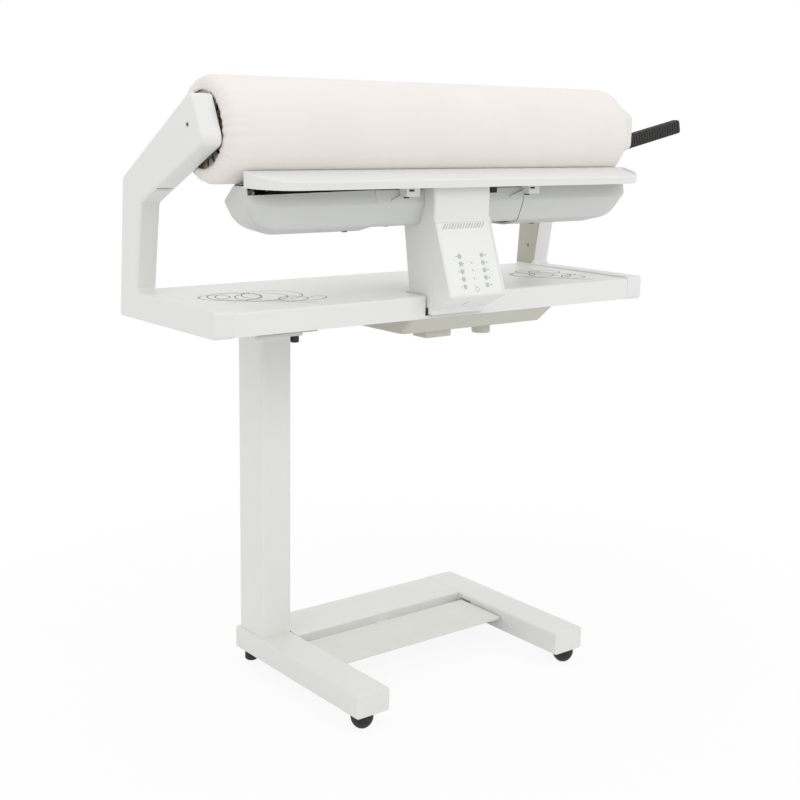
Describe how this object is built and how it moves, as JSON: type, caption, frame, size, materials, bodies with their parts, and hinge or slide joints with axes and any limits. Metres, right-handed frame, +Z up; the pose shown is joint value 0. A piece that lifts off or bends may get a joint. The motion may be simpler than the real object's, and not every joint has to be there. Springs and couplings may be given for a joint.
{
  "type": "flatwork_ironer",
  "caption": "White domestic rotary ironer with a padded roller over a heated shoe, feed board, work table and column stand with a foot pedal.",
  "frame": {"origin": "bottom centre of the whole machine's bounding box, on the floor under the glides", "axes": "+X along the roller towards the release lever, -Y towards the person ironing, +Z up"},
  "size_m": [1.1523, 0.4038, 1.095],
  "materials": {
    "white_frame": "satin",
    "white_plastic": "satin",
    "black_rubber": "matte",
    "black_plastic": "matte",
    "dark_bracket": "satin",
    "steel_bracket": "brushed",
    "motor_steel": "satin",
    "roller_steel": "satin",
    "shoe_aluminium": "polished",
    "pedal_grey": "satin",
    "panel_film": "satin",
    "key_caps": "satin",
    "roller_cloth": "woven cotton",
    "padding_felt": "felt"
  },
  "bodies": {
    "frame": {"left_leg": "white_frame", "right_leg": "white_frame", "rear_crossbar": "white_frame", "stand_column": "white_frame", "front_glides": "black_rubber", "rear_glides": "black_rubber", "head_bracket": "steel_bracket", "pedal_brackets": "dark_bracket", "pedal_springs": "steel_bracket", "pedal_switch": "black_plastic", "table_panel": "white_frame", "left_casing": "white_plastic", "left_inner_plate": "white_frame", "left_joint_cover": "white_plastic", "right_casing": "white_plastic", "right_inner_plate": "white_frame", "cross_rails": "steel_bracket", "under_housing": "white_plastic", "inlet_box": "white_plastic", "service_cap": "white_plastic", "press_motor": "motor_steel", "swing_shaft": "steel_bracket", "swing_bearings": "steel_bracket", "drive_motor": "motor_steel", "roller_bushes": "white_plastic", "lever_bracket": "black_plastic"},
    "swing_head": {"swing_arm": "steel_bracket", "column_cover": "white_plastic", "panel_housing": "white_plastic", "control_panel": "panel_film", "heated_shoe": "shoe_aluminium", "heating_element": "steel_bracket", "left_shoe_cover": "white_plastic", "centre_shoe_cover": "white_plastic", "right_shoe_cover": "white_plastic", "feed_board": "white_plastic", "feed_board_brackets": "white_plastic"},
    "roller": {"roller_tube": "roller_steel", "roller_end_discs": "roller_steel", "roller_padding": "padding_felt", "roller_cover": "roller_cloth", "roller_shafts": "steel_bracket", "roller_gear": "black_plastic"},
    "drive_pinion": {"drive_pinion": "steel_bracket"},
    "pedal": {"pedal_plate": "pedal_grey"},
    "knob": {"stand_knob": "black_plastic"},
    "cam": {"press_cam": "white_plastic"},
    "lever": {"release_lever": "dark_bracket", "lever_grip": "black_rubber"},
    "key_1": {"key_1": "key_caps"},
    "key_2": {"key_2": "key_caps"},
    "key_3": {"key_3": "key_caps"},
    "key_4": {"key_4": "key_caps"},
    "key_5": {"key_5": "key_caps"},
    "key_6": {"key_6": "key_caps"},
    "key_7": {"key_7": "key_caps"},
    "key_8": {"key_8": "key_caps"},
    "key_9": {"key_9": "key_caps"},
    "key_10": {"key_10": "key_caps"}
  },
  "joints": [
    {"name": "roller_spin", "type": "hinge", "parent": "frame", "child": "roller", "pos_m": [-0.0965, -0.0504, 1.011], "axis": [1, 0, 0], "continuous": true},
    {"name": "shoe_swing", "type": "hinge", "parent": "frame", "child": "swing_head", "pos_m": [-0.0965, 0.04, 0.686], "axis": [1, 0, 0], "range_deg": [0, 3.8]},
    {"name": "pedal_tilt", "type": "hinge", "parent": "frame", "child": "pedal", "pos_m": [-0.0645, 0.066, 0.046], "axis": [1, 0, 0], "range_deg": [0, 6], "stiffness_Nm_per_rad": 6, "springref_deg": -13.98},
    {"name": "lever_pull", "type": "hinge", "parent": "frame", "child": "lever", "pos_m": [0.3935, -0.05, 0.99], "axis": [0, 1, 0], "range_deg": [0, 25]},
    {"name": "pinion_spin", "type": "hinge", "parent": "frame", "child": "drive_pinion", "pos_m": [-0.5515, -0.01691, 0.99251], "axis": [1, 0, 0], "continuous": true},
    {"name": "cam_turn", "type": "hinge", "parent": "frame", "child": "cam", "pos_m": [-0.0795, 0.102, 0.711], "axis": [1, 0, 0], "range_deg": [0, 170]},
    {"name": "knob_turn", "type": "hinge", "parent": "frame", "child": "knob", "pos_m": [-0.2545, 0.118, 0.64], "axis": [0, 0, 1], "continuous": true},
    {"name": "key_1_press", "type": "slide", "parent": "swing_head", "child": "key_1", "axis": [0, 0.9404, -0.3401], "range_m": [0, 0.0008], "stiffness_N_per_m": 400, "springref_m": -0.0008},
    {"name": "key_2_press", "type": "slide", "parent": "swing_head", "child": "key_2", "axis": [0, 0.9404, -0.3401], "range_m": [0, 0.0008], "stiffness_N_per_m": 400, "springref_m": -0.0008},
    {"name": "key_3_press", "type": "slide", "parent": "swing_head", "child": "key_3", "axis": [0, 0.9404, -0.3401], "range_m": [0, 0.0008], "stiffness_N_per_m": 400, "springref_m": -0.0008},
    {"name": "key_4_press", "type": "slide", "parent": "swing_head", "child": "key_4", "axis": [0, 0.9404, -0.3401], "range_m": [0, 0.0008], "stiffness_N_per_m": 400, "springref_m": -0.0008},
    {"name": "key_5_press", "type": "slide", "parent": "swing_head", "child": "key_5", "axis": [0, 0.9404, -0.3401], "range_m": [0, 0.0008], "stiffness_N_per_m": 400, "springref_m": -0.0008},
    {"name": "key_6_press", "type": "slide", "parent": "swing_head", "child": "key_6", "axis": [0, 0.9404, -0.3401], "range_m": [0, 0.0008], "stiffness_N_per_m": 400, "springref_m": -0.0008},
    {"name": "key_7_press", "type": "slide", "parent": "swing_head", "child": "key_7", "axis": [0, 0.9404, -0.3401], "range_m": [0, 0.0008], "stiffness_N_per_m": 400, "springref_m": -0.0008},
    {"name": "key_8_press", "type": "slide", "parent": "swing_head", "child": "key_8", "axis": [0, 0.9404, -0.3401], "range_m": [0, 0.0008], "stiffness_N_per_m": 400, "springref_m": -0.0008},
    {"name": "key_9_press", "type": "slide", "parent": "swing_head", "child": "key_9", "axis": [0, 0.9404, -0.3401], "range_m": [0, 0.0008], "stiffness_N_per_m": 400, "springref_m": -0.0008},
    {"name": "key_10_press", "type": "slide", "parent": "swing_head", "child": "key_10", "axis": [0, 0.9404, -0.3401], "range_m": [0, 0.0008], "stiffness_N_per_m": 400, "springref_m": -0.0008}
  ],
  "couplings": [
    {"joint": "pinion_spin", "follows": "roller_spin", "ratio": -2.9231},
    {"joint": "cam_turn", "follows": "shoe_swing", "ratio": 44.737}
  ]
}
